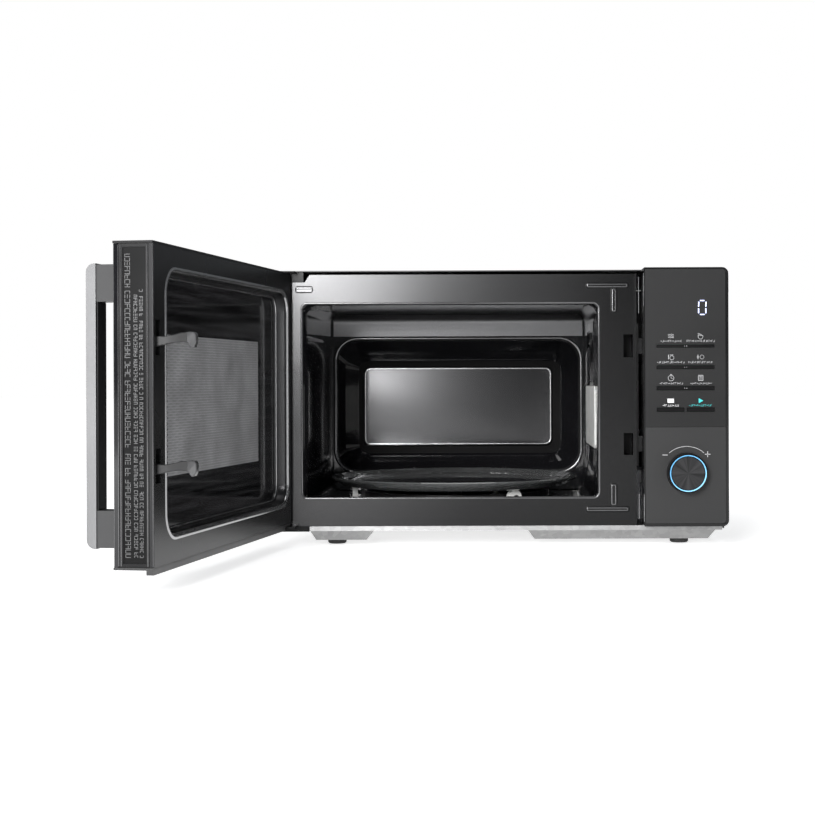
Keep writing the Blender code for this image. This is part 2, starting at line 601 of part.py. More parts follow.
def latch(hung):
    """The sliding bar behind the door's free edge, with two hooks that reach out through the slots."""
    centre = Vector((148.0, -20.0, 180.0))
    slide = new_empty("latch_axis", centre, place=hung)
    hooks = []
    for z0, _ in LATCH_SLOTS:
        low = z0 + 5
        hooks.append(box((145.5, -24, low), (150.5, 29, low + 9)))
        hooks.append(box((145.5, 25, low - 4), (150.5, 34, low + 9)))
    piece("latch_lever", box((144.5, -30, 96), (151.5, -16, 254)), "white", fuse=hooks, place=slide,
          centre=centre)
    turns, points_per_turn, radius = 6, 10, 3.4
    low, high = 254.5, 299.5
    curve = bpy.data.curves.new("latch_spring", "CURVE")
    curve.dimensions = "3D"
    curve.bevel_depth = 0.5 * MM
    curve.bevel_resolution = 1
    curve.use_fill_caps = True
    line = curve.splines.new("POLY")
    count = turns * points_per_turn
    line.points.add(count)
    for i, point in enumerate(line.points):
        angle = math.tau * i / points_per_turn
        rise = low + 0.6 + (high - low - 1.2) * i / count
        point.co = (radius * MM * math.cos(angle), radius * MM * math.sin(angle), (rise - low) * MM, 1.0)
    spring = bpy.data.objects.new("latch_spring", curve)
    PARTS.objects.link(spring)
    hang(spring, hung, (148.0, -23.0, low))
    curve.materials.append(MATERIALS["steel"])


cabinet()
rear_panel()
base_plate()
front_plate()
hinge_plates()
cavity()
waveguide_and_magnetron()
power_parts()
fan()
turntable()
control_panel()
keys()
knob()
latch_housing()
door()
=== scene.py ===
"""Looks of a 28 litre microwave oven that stands on a pale floor with its door open.

Shapes are drawn in the oven's own millimetres: X from the body's middle to its right, Y from the front
plate's face to the rear, Z up. Door shapes are drawn with the door closed, then turned open.
"""
import json
import math
import random

import bmesh
import bpy
from mathutils import Matrix, Vector


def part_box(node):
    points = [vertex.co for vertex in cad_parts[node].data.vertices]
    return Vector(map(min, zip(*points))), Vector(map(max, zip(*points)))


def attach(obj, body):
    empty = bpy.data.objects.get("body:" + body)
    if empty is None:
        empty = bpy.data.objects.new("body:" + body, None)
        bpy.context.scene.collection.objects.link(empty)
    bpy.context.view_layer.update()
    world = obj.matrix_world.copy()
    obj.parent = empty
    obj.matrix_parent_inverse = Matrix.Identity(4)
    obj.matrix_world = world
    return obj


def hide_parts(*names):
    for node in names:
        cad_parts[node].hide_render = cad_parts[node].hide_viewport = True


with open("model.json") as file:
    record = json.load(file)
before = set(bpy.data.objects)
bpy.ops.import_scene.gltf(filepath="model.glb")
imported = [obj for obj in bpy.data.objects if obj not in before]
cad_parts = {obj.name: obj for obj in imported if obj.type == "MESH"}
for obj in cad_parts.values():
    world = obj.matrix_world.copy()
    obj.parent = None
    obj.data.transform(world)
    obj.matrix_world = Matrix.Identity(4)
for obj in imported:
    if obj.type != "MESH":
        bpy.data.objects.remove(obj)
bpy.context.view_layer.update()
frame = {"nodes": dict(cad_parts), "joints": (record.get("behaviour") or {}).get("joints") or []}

MM = 0.001
JOINTS = {joint["name"]: joint for joint in frame["joints"]}


# Places: matrices from oven millimetres to the world at rest

CABINET_LOW, CABINET_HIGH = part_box("outer_cabinet")
START = Vector(((CABINET_LOW.x + CABINET_HIGH.x) / 2, CABINET_LOW.y, 0.0))
BODY = Matrix.Translation(START) @ Matrix.Scale(MM, 4)
TO_OVEN = BODY.inverted()
PIN = TO_OVEN @ Vector(JOINTS["door_hinge"]["pos_m"])
DOOR_OPEN = -JOINTS["door_hinge"]["range_deg"][0]
DOOR = (BODY @ Matrix.Translation(PIN) @ Matrix.Rotation(math.radians(-DOOR_OPEN), 4, "Z")
        @ Matrix.Translation(-PIN))
SPIN = TO_OVEN @ Vector(JOINTS["turntable_spin"]["pos_m"])
KNOB = TO_OVEN @ Vector(JOINTS["knob_turn"]["pos_m"])

# Sizes, in millimetres: flat outlines are (x0, x1, z0, z1)
HALF_WIDTH = 260.0
REAR_FACE = 386.5               # outer face of the rear panel
PLATE = 1.5                     # front plate sheet
OPENING = (-231.0, 115.4, 55.5, 283.0)
FLOOR_TOP = 42.0
CAVITY_BACK = 320.0             # rim of the drawn back wall
PAN_BACK = 346.0                # flat back of the pan drawn into it
BACK_PANEL = (-188.5, 71.2, 103.5, 210.2)
BACK_PANEL_RISE = 3.0           # toward the door, from the pan's back
PANEL_LEFT, PANEL_RIGHT = 163.9, 260.0
PANEL_FRONT = -38.0
DOOR_FREE_EDGE = 158.5
RECESS = (-245.0, 127.5, 52.0, 293.0)
SCREEN = (-181.0, 96.0, 104.0, 236.0)
SCREEN_PITCH = 3.0
FILM_FACE = -16.6
HOOK_LOWS = (105.2, 218.8)
KEY_LEFT, KEY_RIGHT = 194.4, 228.1          # middles of the two columns of key print
CAMERA = (0.0, -1726.0, 192.4)


# Materials

def nodes_of(material):
    return material.node_tree.nodes, material.node_tree.links


def new_material(name, colour, roughness, metallic=0.0, **sockets):
    material = bpy.data.materials.new(name)
    material.use_nodes = True
    shader = material.node_tree.nodes["Principled BSDF"]
    values = {"Base Color": (*colour, 1.0), "Roughness": roughness, "Metallic": metallic, **sockets}
    for socket, value in values.items():
        shader.inputs[socket].default_value = value
    return material, shader


def coordinates(material, scale=(1, 1, 1)):
    nodes, links = nodes_of(material)
    place = nodes.new("ShaderNodeTexCoord")
    mapping = nodes.new("ShaderNodeMapping")
    mapping.inputs["Scale"].default_value = scale
    links.new(place.outputs["Object"], mapping.inputs["Vector"])
    return mapping.outputs["Vector"]


def noise(material, scale, detail=3.0, stretch=(1, 1, 1)):
    nodes, links = nodes_of(material)
    texture = nodes.new("ShaderNodeTexNoise")
    texture.inputs["Scale"].default_value = scale
    texture.inputs["Detail"].default_value = detail
    links.new(coordinates(material, stretch), texture.inputs["Vector"])
    return texture.outputs["Fac"]


def cells(material, scale):
    """A Voronoi texture node on the object's own coordinates."""
    nodes, links = nodes_of(material)
    texture = nodes.new("ShaderNodeTexVoronoi")
    texture.inputs["Scale"].default_value = scale
    links.new(coordinates(material), texture.inputs["Vector"])
    return texture


def vector_math(material, operation, first, second=None, output="Vector"):
    """A vector node of one socket and, if given, one constant vector."""
    nodes, links = nodes_of(material)
    node = nodes.new("ShaderNodeVectorMath")
    node.operation = operation
    links.new(first, node.inputs[0])
    if second is not None:
        node.inputs[1].default_value = second
    return node.outputs[output]


def spread(material, value, low, high, from_low=0.3, from_high=0.7):
    """Maps a value from one range to another."""
    nodes, links = nodes_of(material)
    scaler = nodes.new("ShaderNodeMapRange")
    links.new(value, scaler.inputs["Value"])
    sockets = {"From Min": from_low, "From Max": from_high, "To Min": low, "To Max": high}
    for socket, number in sockets.items():
        scaler.inputs[socket].default_value = number
    return scaler.outputs["Result"]


def mix_colours(material, factor, first, second):
    """A mix of two colours, each a constant or a socket."""
    nodes, links = nodes_of(material)
    mixer = nodes.new("ShaderNodeMix")
    mixer.data_type = "RGBA"
    links.new(factor, mixer.inputs[0])
    for index, colour in ((6, first), (7, second)):
        if isinstance(colour, tuple):
            mixer.inputs[index].default_value = (*colour, 1.0)
        else:
            links.new(colour, mixer.inputs[index])
    return mixer.outputs[2]


def add_bump(material, shader, height, strength, distance):
    nodes, links = nodes_of(material)
    bump = nodes.new("ShaderNodeBump")
    bump.inputs["Strength"].default_value = strength
    bump.inputs["Distance"].default_value = distance
    links.new(height, bump.inputs["Height"])
    links.new(bump.outputs["Normal"], shader.inputs["Normal"])


def surface(name, colour, roughness, metallic=0.0, tint=0.12, grain=900.0, bump=0.08, depth=0.0002,
            mottle=9.0, rough_spread=0.06, **sockets):
    """A painted, moulded or metal surface: slight colour drift, roughness drift and a fine grain."""
    material, shader = new_material(name, colour, roughness, metallic, **sockets)
    _, links = nodes_of(material)
    drift = noise(material, mottle, 4.0)
    darker = tuple(c * (1 - tint) for c in colour)
    lighter = tuple(min(1.0, c * (1 + tint)) for c in colour)
    links.new(mix_colours(material, spread(material, drift, 0.0, 1.0), darker, lighter),
              shader.inputs["Base Color"])
    links.new(spread(material, drift, roughness - rough_spread, roughness + rough_spread),
              shader.inputs["Roughness"])
    add_bump(material, shader, noise(material, grain, 2.0), bump, depth)
    return material


def paint_light_falloff(material, colour, light, dark, least):
    """Painted shade: darkens a colour to its least share on the way from a lit point of the oven to a shaded
    one.
    """
    nodes, links = nodes_of(material)
    toward = (Vector(dark) - Vector(light)).normalized()
    along = vector_math(material, "DOT_PRODUCT", coordinates(material), toward, "Value")
    shade = spread(material, along, 1.0, least,
                   (BODY @ Vector(light)).dot(toward), (BODY @ Vector(dark)).dot(toward))
    scale = nodes.new("ShaderNodeVectorMath")
    scale.operation = "SCALE"
    links.new(colour, scale.inputs[0])
    links.new(shade, scale.inputs["Scale"])
    return scale.outputs["Vector"]


def speckled_paint(name, colour, roughness, flake, metallic=0.0, shade=None):
    """Satin metallic paint with fine bright flakes and a faint orange peel; shade, if given, paints a
    fall-off of light across it (painted shade).
    """
    material, shader = new_material(name, colour, roughness, metallic)
    _, links = nodes_of(material)
    flakes = spread(material, cells(material, 950.0).outputs["Distance"], 1.0, 0.0, 0.05, 0.30)
    drift = spread(material, noise(material, 3.0, 1.0), 0.0, 1.0)
    base = mix_colours(material, drift, tuple(c * 0.95 for c in colour), tuple(c * 1.05 for c in colour))
    paint = mix_colours(material, flakes, base, flake)
    links.new(paint_light_falloff(material, paint, *shade) if shade else paint, shader.inputs["Base Color"])
    links.new(spread(material, noise(material, 5.0, 1.0), roughness - 0.02, roughness + 0.02),
              shader.inputs["Roughness"])
    add_bump(material, shader, noise(material, 420.0, 2.0), 0.03, 0.0002)
    return material


def galvanised(name):
    """Zinc-coated steel with a spangle of small crystals."""
    material, shader = new_material(name, (0.30, 0.30, 0.30), 0.36, 0.9)
    nodes, links = nodes_of(material)
    shade = nodes.new("ShaderNodeSeparateColor")
    links.new(cells(material, 160.0).outputs["Color"], shade.inputs["Color"])
    links.new(mix_colours(material, shade.outputs["Red"], (0.27, 0.27, 0.27), (0.33, 0.33, 0.33)),
              shader.inputs["Base Color"])
    links.new(spread(material, shade.outputs["Green"], 0.33, 0.41, 0.0, 1.0), shader.inputs["Roughness"])
    add_bump(material, shader, noise(material, 300.0, 2.0), 0.06, 0.0003)
    return material


def spun_metal(name, colour):
    """Fine rings about the knob's axis, which runs along Y, and light and dark rays painted into the colour
    as the spun metal's sheen.
    """
    material, shader = new_material(name, colour, 0.3, 1.0, **{"Anisotropic": 0.75})
    nodes, links = nodes_of(material)
    from_axis = vector_math(material, "SUBTRACT", coordinates(material), BODY @ KNOB)
    split = nodes.new("ShaderNodeSeparateXYZ")
    links.new(from_axis, split.inputs["Vector"])
    turn = nodes.new("ShaderNodeMath")
    turn.operation = "ARCTAN2"
    links.new(split.outputs["Z"], turn.inputs[0])
    links.new(split.outputs["X"], turn.inputs[1])
    # Painted sheen: light and dark wedges by angle about the axis, mixed into the base colour.
    sheen_rays = nodes.new("ShaderNodeTexNoise")
    sheen_rays.noise_dimensions = "1D"
    sheen_rays.inputs["Scale"].default_value = 2.2
    sheen_rays.inputs["Detail"].default_value = 6.0
    links.new(turn.outputs["Value"], sheen_rays.inputs["W"])
    links.new(mix_colours(material, spread(material, sheen_rays.outputs["Fac"], 0.0, 1.0, 0.35, 0.68),
                          tuple(c * 0.7 for c in colour), tuple(c * 1.5 for c in colour)),
              shader.inputs["Base Color"])
    rings = nodes.new("ShaderNodeTexNoise")
    rings.noise_dimensions = "1D"
    rings.inputs["Scale"].default_value = 3200.0
    links.new(vector_math(material, "LENGTH", from_axis, output="Value"), rings.inputs["W"])
    add_bump(material, shader, rings.outputs["Fac"], 0.12, 0.0001)
    return material


def glowing(name, colour, strength):
    material, shader = new_material(name, colour, 0.4, 0.0, **{
        "Emission Color": (*colour, 1.0), "Emission Strength": strength})
    _, links = nodes_of(material)
    links.new(spread(material, noise(material, 180.0), 0.35, 0.5), shader.inputs["Roughness"])
    return material, shader


def ring_light(name):
    """A glowing ring about the knob's axis, brightest below and to the right."""
    material, shader = glowing(name, (0.10, 0.36, 0.62), 1.0)
    _, links = nodes_of(material)
    toward = Vector((0.6, 0.0, -0.8))
    lean = vector_math(material, "DOT_PRODUCT", coordinates(material), toward, "Value")
    middle = (BODY @ KNOB).dot(toward)
    reach = 20 * MM
    bright = spread(material, lean, 0.0, 1.0, middle - reach, middle + reach)
    links.new(spread(material, bright, 0.22, 1.0, 0.1, 0.9), shader.inputs["Emission Strength"])
    links.new(mix_colours(material, bright, (0.06, 0.26, 0.60), (0.34, 0.62, 0.80)),
              shader.inputs["Emission Color"])
    return material


def clear_glass(name):
    """Slightly grey clear glass with a faint ripple."""
    material, shader = new_material(name, (0.34, 0.35, 0.35), 0.05, 0.0, **{
        "Transmission Weight": 0.82, "IOR": 1.48, "Coat Weight": 0.8})
    add_bump(material, shader, noise(material, 40.0, 2.0), 0.05, 0.001)
    return material


def window_film(name):
    """Glossy black film with faint level streaks."""
    material, shader = new_material(name, (0.008, 0.008, 0.009), 0.07)
    _, links = nodes_of(material)
    streaks = spread(material, noise(material, 22.0, 4.0, (0.4, 0.4, 12.0)), 0.0, 1.0, 0.42, 0.7)
    base = mix_colours(material, streaks, (0.003, 0.003, 0.0033), (0.022, 0.022, 0.023))
    links.new(base, shader.inputs["Base Color"])
    links.new(spread(material, noise(material, 24.0, 3.0, (0.5, 0.5, 9.0)), 0.05, 0.11),
              shader.inputs["Roughness"])
    return material


def perforated(name):
    """Painted metal screen with a hexagonal field of oval holes, one pitch apart in the UV map."""
    material, shader = new_material(name, (0.3, 0.3, 0.31), 0.45, 0.2)
    nodes, links = nodes_of(material)
    place = nodes.new("ShaderNodeTexCoord")
    split = nodes.new("ShaderNodeSeparateXYZ")
    links.new(place.outputs["UV"], split.inputs["Vector"])

    def wave(value, turns_per_pitch):
        scaled = nodes.new("ShaderNodeMath")
        scaled.operation = "MULTIPLY"
        scaled.inputs[1].default_value = math.tau * turns_per_pitch
        links.new(value, scaled.inputs[0])
        cosine = nodes.new("ShaderNodeMath")
        cosine.operation = "COSINE"
        links.new(scaled.outputs["Value"], cosine.inputs[0])
        return cosine.outputs["Value"]

    product = nodes.new("ShaderNodeMath")
    product.operation = "MULTIPLY"
    links.new(wave(split.outputs["X"], 1.0), product.inputs[0])
    links.new(wave(split.outputs["Y"], 1 / math.sqrt(3)), product.inputs[1])
    holes = product.outputs["Value"]
    hole = spread(material, holes, 0.0, 1.0, -0.05, 0.35)
    metal = mix_colours(material, spread(material, noise(material, 26.0, 4.0), 0.0, 1.0),
                        (0.26, 0.26, 0.265), (0.42, 0.42, 0.43))
    links.new(mix_colours(material, hole, metal, (0.012, 0.012, 0.0125)), shader.inputs["Base Color"])
    add_bump(material, shader, holes, -0.3, 0.0004)
    return material


# Front plate: a painted highlight at the upper left that falls off to painted shade, at 0.34 of the colour,
# toward the lower right.
PAINT = speckled_paint("satin_front_paint", (0.050, 0.050, 0.051), 0.235, (0.100, 0.100, 0.103), 0.85,
                       ((-240, 0, 300), (20, 0, 120), 0.34))
DOOR_PAINT = speckled_paint("satin_door_paint", (0.022, 0.022, 0.023), 0.27, (0.034, 0.034, 0.035), 0.7)
CABINET = surface("cabinet_powder_coat", (0.010, 0.010, 0.0105), 0.42, grain=1500.0, bump=0.25)
ENAMEL = surface("cavity_enamel", (0.007, 0.007, 0.008), 0.09, grain=55.0, bump=0.10, depth=0.0012,
                 mottle=22.0, rough_spread=0.02, **{"Coat Weight": 0.2})
# Back panel: lighter at the lower left and falling off to painted shade, at 0.6 of the colour, toward the
# upper right.
PANEL_ENAMEL = speckled_paint("back_panel_enamel", (0.060, 0.060, 0.0615), 0.22, (0.092, 0.092, 0.096), 0.8,
                              ((-160, 0, 120), (60, 0, 200), 0.6))
# A much lighter copy of the cavity enamel for the ceiling cove: a painted highlight for the bright band where
# the ceiling bends into the back.
COVE_HIGHLIGHT_ENAMEL = speckled_paint("cove_painted_highlight", (0.12, 0.12, 0.123), 0.3, (0.24, 0.24, 0.245), 0.8)
# A darker, hardly reflecting copy of the cavity enamel for the pan's flat: painted shade.
PAN_SHADE_ENAMEL = surface("pan_painted_shade", (0.003, 0.003, 0.0032), 0.5, grain=300.0, **{"Specular IOR Level": 0.05})
ZINC = galvanised("galvanised_sheet")
STEEL = surface("plain_steel", (0.36, 0.36, 0.37), 0.32, 1.0, grain=700.0)
SILVER = surface("satin_silver", (0.17, 0.17, 0.173), 0.36, 0.8, tint=0.04, grain=1800.0, bump=0.05)
BLACK = surface("black_moulding", (0.007, 0.007, 0.0075), 0.34, grain=1300.0, bump=0.08,
                **{"Specular IOR Level": 0.2})
GLOSS_BLACK = surface("gloss_black_moulding", (0.005, 0.005, 0.0053), 0.16, grain=60.0, bump=0.03,
                      rough_spread=0.04, **{"Specular IOR Level": 0.3})
GREY = surface("grey_moulding", (0.040, 0.040, 0.041), 0.45, grain=1300.0, bump=0.12,
               **{"Specular IOR Level": 0.25})
UPPER_FASCIA = surface("upper_overlay", (0.011, 0.011, 0.0113), 0.42, tint=0.04, grain=2200.0, bump=0.04,
                       **{"Specular IOR Level": 0.2})
LOWER_FASCIA = surface("lower_overlay", (0.024, 0.024, 0.0244), 0.46, tint=0.04, grain=2200.0, bump=0.04,
                       **{"Specular IOR Level": 0.2})
RUBBER = surface("rubber", (0.015, 0.015, 0.015), 0.75, grain=600.0, bump=0.2)
WHITE = surface("white_moulding", (0.80, 0.80, 0.78), 0.38, tint=0.04, grain=500.0)
MICA = surface("mica_sheet", (0.86, 0.86, 0.84), 0.45, tint=0.08, grain=160.0, bump=0.15, mottle=40.0)
BOARD = surface("circuit_board", (0.02, 0.13, 0.06), 0.4, tint=0.3, grain=400.0)
GLASS = clear_glass("clear_glass")
DOOR_GLASS = surface("black_glass", (0.006, 0.006, 0.007), 0.05, grain=20.0, bump=0.01, rough_spread=0.02)
FILM = window_film("window_film")
MESH = perforated("perforated_screen")
SPUN = spun_metal("spun_metal", (0.030, 0.030, 0.031))
KEY_BLACK = surface("key_moulding", (0.004, 0.004, 0.0042), 0.30, grain=1300.0, bump=0.06,
                    **{"Specular IOR Level": 0.12})
# A bright metal for thin rims, beads and fillets: painted highlights on the edges of darker surfaces.
HIGHLIGHT_METAL_BRIGHT = surface("rim_painted_highlight_bright", (0.34, 0.34, 0.345), 0.20, 0.9, tint=0.1, grain=300.0, bump=0.05)
# A dimmer bright metal for rims, crests, borders and trims: softer painted highlights.
HIGHLIGHT_METAL_SOFT = surface("rim_painted_highlight_soft", (0.10, 0.10, 0.102), 0.16, 0.8, tint=0.2, grain=200.0, bump=0.08)
CAP_GREY = surface("cap_moulding", (0.020, 0.020, 0.0205), 0.36, grain=1300.0, bump=0.08)
# A lighter grey for the raised ticks on the door's edge: painted highlights on the raised marks.
TICK_HIGHLIGHT_GREY = surface("raised_ticks_painted_highlight", (0.105, 0.105, 0.107), 0.4, tint=0.3, grain=900.0)
RING_LIGHT = ring_light("ring_light")
DIGIT_LIGHT, _ = glowing("digit_light", (0.62, 0.68, 1.0), 1.0)
PRINT = surface("pale_print", (0.46, 0.46, 0.47), 0.5, tint=0.1)
BRIGHT_PRINT = surface("white_print", (0.85, 0.85, 0.86), 0.5, tint=0.05)
TEAL_PRINT = surface("teal_print", (0.03, 0.52, 0.52), 0.5, tint=0.1)
HOOK_GREY = surface("hook_moulding", (0.012, 0.012, 0.0125), 0.30, grain=800.0, **{"Specular IOR Level": 0.4})
HOOK_TIP = surface("hook_tip", (0.065, 0.065, 0.067), 0.2, 0.3, tint=0.3, grain=90.0, bump=0.1)

CAD_LOOKS = {
    "outer_cabinet": CABINET, "rear_panel": CABINET, "front_plate": PAINT, "base_plate": ZINC,
    "foot_front_left": RUBBER, "foot_front_right": RUBBER, "foot_rear_left": RUBBER,
    "foot_rear_right": RUBBER, "cord_gland": RUBBER, "upper_hinge_plate": KEY_BLACK,
    "lower_hinge_plate": KEY_BLACK, "cavity_left_wall": ENAMEL, "cavity_right_wall": ENAMEL,
    "cavity_ceiling": ENAMEL, "cavity_floor": ENAMEL, "cavity_back_wall": ENAMEL,
    "waveguide_cover": MICA, "waveguide": ZINC, "magnetron": ZINC, "high_voltage_transformer": STEEL,
    "high_voltage_capacitor": STEEL, "turntable_motor": ZINC, "oven_lamp": GLASS, "fan_shroud": BLACK,
    "fan_motor": STEEL, "control_panel_moulding": GLOSS_BLACK, "upper_fascia": UPPER_FASCIA,
    "lower_fascia": LOWER_FASCIA, "control_board": BOARD, "latch_housing": KEY_BLACK,
    "door_switch_lower": BLACK, "door_switch_upper": BLACK, "door_glass": DOOR_GLASS,
    "door_frame": BLACK, "door_inner_frame": DOOR_PAINT, "door_window_film": FILM,
    "door_screen": DOOR_PAINT, "door_bottom_cap": CAP_GREY, "door_top_cap": BLACK, "handle_bar": SILVER,
    "handle_bracket_lower": GREY, "handle_bracket_upper": GREY, "handle_liner": BLACK,
    "latch_spring": STEEL, "latch_lever": HOOK_GREY, "glass_turntable": GLASS, "drive_coupler": BLACK,
    "roller_ring": BLACK, "roller_1": WHITE, "roller_2": WHITE, "roller_3": WHITE, "fan_blade": BLACK,
    "knob": KEY_BLACK, "knob_cap": SPUN, "knob_light_ring": RING_LIGHT,
    "rocker_key_upper": KEY_BLACK, "rocker_key_middle": KEY_BLACK, "rocker_key_lower": KEY_BLACK,
    "stop_key": KEY_BLACK, "start_key": KEY_BLACK,
}

# Edge rounding on the CAD pieces, in millimetres
ROUNDING = {
    "front_plate": 0.4, "outer_cabinet": 0.4, "rear_panel": 0.4, "base_plate": 0.6,
    "cavity_back_wall": 2.0, "control_panel_moulding": 1.6, "upper_fascia": 0.25, "lower_fascia": 0.25,
    "door_glass": 0.8, "door_frame": 0.8, "door_inner_frame": 1.2, "door_top_cap": 0.9,
    "door_bottom_cap": 0.9, "handle_bar": 2.2, "handle_bracket_lower": 1.2, "handle_bracket_upper": 1.2,
    "handle_liner": 1.2, "waveguide_cover": 0.3, "upper_hinge_plate": 0.4, "lower_hinge_plate": 0.4,
    "rocker_key_upper": 0.6, "rocker_key_middle": 0.6, "rocker_key_lower": 0.6, "stop_key": 0.6,
    "start_key": 0.6, "latch_housing": 0.5,
}


def dress_cad():
    """Gives each CAD piece its material and its rounded edges."""
    for name, item in frame["nodes"].items():
        item.data.materials.clear()
        item.data.materials.append(CAD_LOOKS[name])
        if name in ROUNDING:
            bevel = item.modifiers.new("Rounding", "BEVEL")
            bevel.width = ROUNDING[name] * MM
            bevel.segments = 3
            bevel.limit_method = "ANGLE"
            bevel.angle_limit = math.radians(32)
            bevel.harden_normals = True
            bevel.use_clamp_overlap = True


# Shapes

def new_piece(name, shape, place, material, body, smooth=35):
    """Makes a bmesh in oven millimetres into a named piece that rides a body."""
    mesh = bpy.data.meshes.new(name)
    bmesh.ops.recalc_face_normals(shape, faces=shape.faces)
    shape.to_mesh(mesh)
    shape.free()
    mesh.transform(place)
    item = bpy.data.objects.new(name, mesh)
    bpy.context.scene.collection.objects.link(item)
    mesh.materials.append(material)
    mesh.shade_smooth()
    mesh.set_sharp_from_angle(angle=math.radians(smooth))
    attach(item, body)
    return item


def add_box(shape, low, high):
    low, high = Vector(low), Vector(high)
    matrix = Matrix.Translation((low + high) / 2) @ Matrix.Diagonal((*(high - low), 1.0))
    bmesh.ops.create_cube(shape, size=1.0, matrix=matrix)


def add_rod(shape, start, end, radius, sides=16):
    start, end = Vector(start), Vector(end)
    axis = end - start
    matrix = Matrix.Translation((start + end) / 2) @ axis.to_track_quat("Z", "Y").to_matrix().to_4x4()
    bmesh.ops.create_cone(shape, cap_ends=True, segments=sides, radius1=radius, radius2=radius,
                          depth=axis.length, matrix=matrix)


def arc(middle, radius, start, end, steps):
    angles = [math.radians(start + (end - start) * i / steps) for i in range(steps + 1)]
    return [(middle[0] + radius * math.cos(a), middle[1] + radius * math.sin(a)) for a in angles]


def rounded(x0, x1, z0, z1, radius, steps=8):
    points = []
    for x, z, sx, sz, start in ((x0, z0, 1, 1, 180), (x1, z0, -1, 1, 270), (x1, z1, -1, -1, 0),
                                (x0, z1, 1, -1, 90)):
        points += arc((x + sx * radius, z + sz * radius), radius, start, start + 90, steps)
    return points


def bridge(shape, rings, closed=True, cap_last=False, cap_first=False):
    """Faces between rings of equally many points."""
    made = [[shape.verts.new(point) for point in ring] for ring in rings]
    count = len(made[0])
    for first, second in zip(made, made[1:]):
        for i in range(count if closed else count - 1):
            j = (i + 1) % count
            shape.faces.new((first[i], first[j], second[j], second[i]))
    if cap_last:
        shape.faces.new(made[-1])
    if cap_first:
        shape.faces.new(made[0][::-1])


def inset_outline(x0, x1, z0, z1, radius, steps=10):
    """A rounded outline as a function of how far it is drawn in."""
    return lambda inset: rounded(x0 + inset, x1 - inset, z0 + inset, z1 - inset,
                                 max(0.3, radius - inset), steps)


def swept(name, outline, profile, place, material, body, smooth=60):
    """A band that follows an outline: profile gives each line's inset and Y."""
    shape = bmesh.new()
    bridge(shape, [[(x, y, z) for x, z in outline(inset)] for inset, y in profile])
    return new_piece(name, shape, place, material, body, smooth)


def embossed_plate(name, points, axis, face, rise, place, material, body, slope=3.0):
    """A raised flat field with sloping edges on a wall; points are in the wall's two other axes."""
    u0, u1, v0, v1, radius = points

    def ring(inset, height):
        flat = rounded(u0 + inset, u1 - inset, v0 + inset, v1 - inset, max(0.5, radius - inset), 6)
        if axis == "X":
            return [(face + height, u, v) for u, v in flat]
        return [(u, face + height, v) for u, v in flat]

    steps = 5
    shares = [i / steps for i in range(steps + 1)]
    shape = bmesh.new()
    bridge(shape, [ring(slope * share, rise * (1 - math.cos(math.pi * share)) / 2) for share in shares],
           cap_last=True)
    return new_piece(name, shape, place, material, body, 50)


def apply_modifiers(item):
    bpy.context.view_layer.update()
    evaluated = item.evaluated_get(bpy.context.evaluated_depsgraph_get())
    mesh = bpy.data.meshes.new_from_object(evaluated)
    item.modifiers.clear()
    item.data = mesh


def carve(item, shape, name):
    """Applies a Boolean difference, so that no cutter stays in the scene."""
    mesh = bpy.data.meshes.new(name)
    bmesh.ops.recalc_face_normals(shape, faces=shape.faces)
    shape.to_mesh(mesh)
    shape.free()
    mesh.transform(BODY)
    cutter = bpy.data.objects.new(name, mesh)
    bpy.context.scene.collection.objects.link(cutter)
    modifier = item.modifiers.new("Cut", "BOOLEAN")
    modifier.object = cutter
    apply_modifiers(item)
    bpy.data.objects.remove(cutter)


# Cabinet

def screws():
    """Pan-head screws on the rear panel and along the cabinet's rear edges, each with a flat black cross as
    the painted shade of its cross recess.
    """
    spots = [((x, REAR_FACE, z), (0, 1, 0)) for x, z in
             ((-247, 33), (-247, 306), (247, 33), (247, 306), (0, 307), (-95, 33))]
    spots += [((side * HALF_WIDTH, 372, z), (side, 0, 0)) for side in (-1, 1) for z in (40, 295)]
    profile = ((4.0, 0.0), (3.9, 0.9), (3.2, 1.7), (1.6, 2.1))
    turns = [math.tau * i / 18 for i in range(18)]
    heads, shaded_recesses = bmesh.new(), bmesh.new()
    for spot, outward in spots:
        place = Matrix.Translation(spot) @ Vector(outward).to_track_quat("Z", "Y").to_matrix().to_4x4()
        bridge(heads, [[place @ Vector((radius * math.cos(turn), radius * math.sin(turn), height))
                        for turn in turns] for radius, height in profile], cap_last=True)
        # Painted shade: a flat black cross on each head stands for its recess.
        for size in ((3.6, 0.7, 0.3, 1.0), (0.7, 3.6, 0.3, 1.0)):
            bmesh.ops.create_cube(shaded_recesses, size=1.0, matrix=place @ Matrix.Translation((0, 0, 2.0))
                                  @ Matrix.Diagonal(size))
    new_piece("cabinet_screws", heads, BODY, STEEL, "oven")
    new_piece("cabinet_screw_painted_recess_shade", shaded_recesses, BODY, KEY_BLACK, "oven")


# Cavity

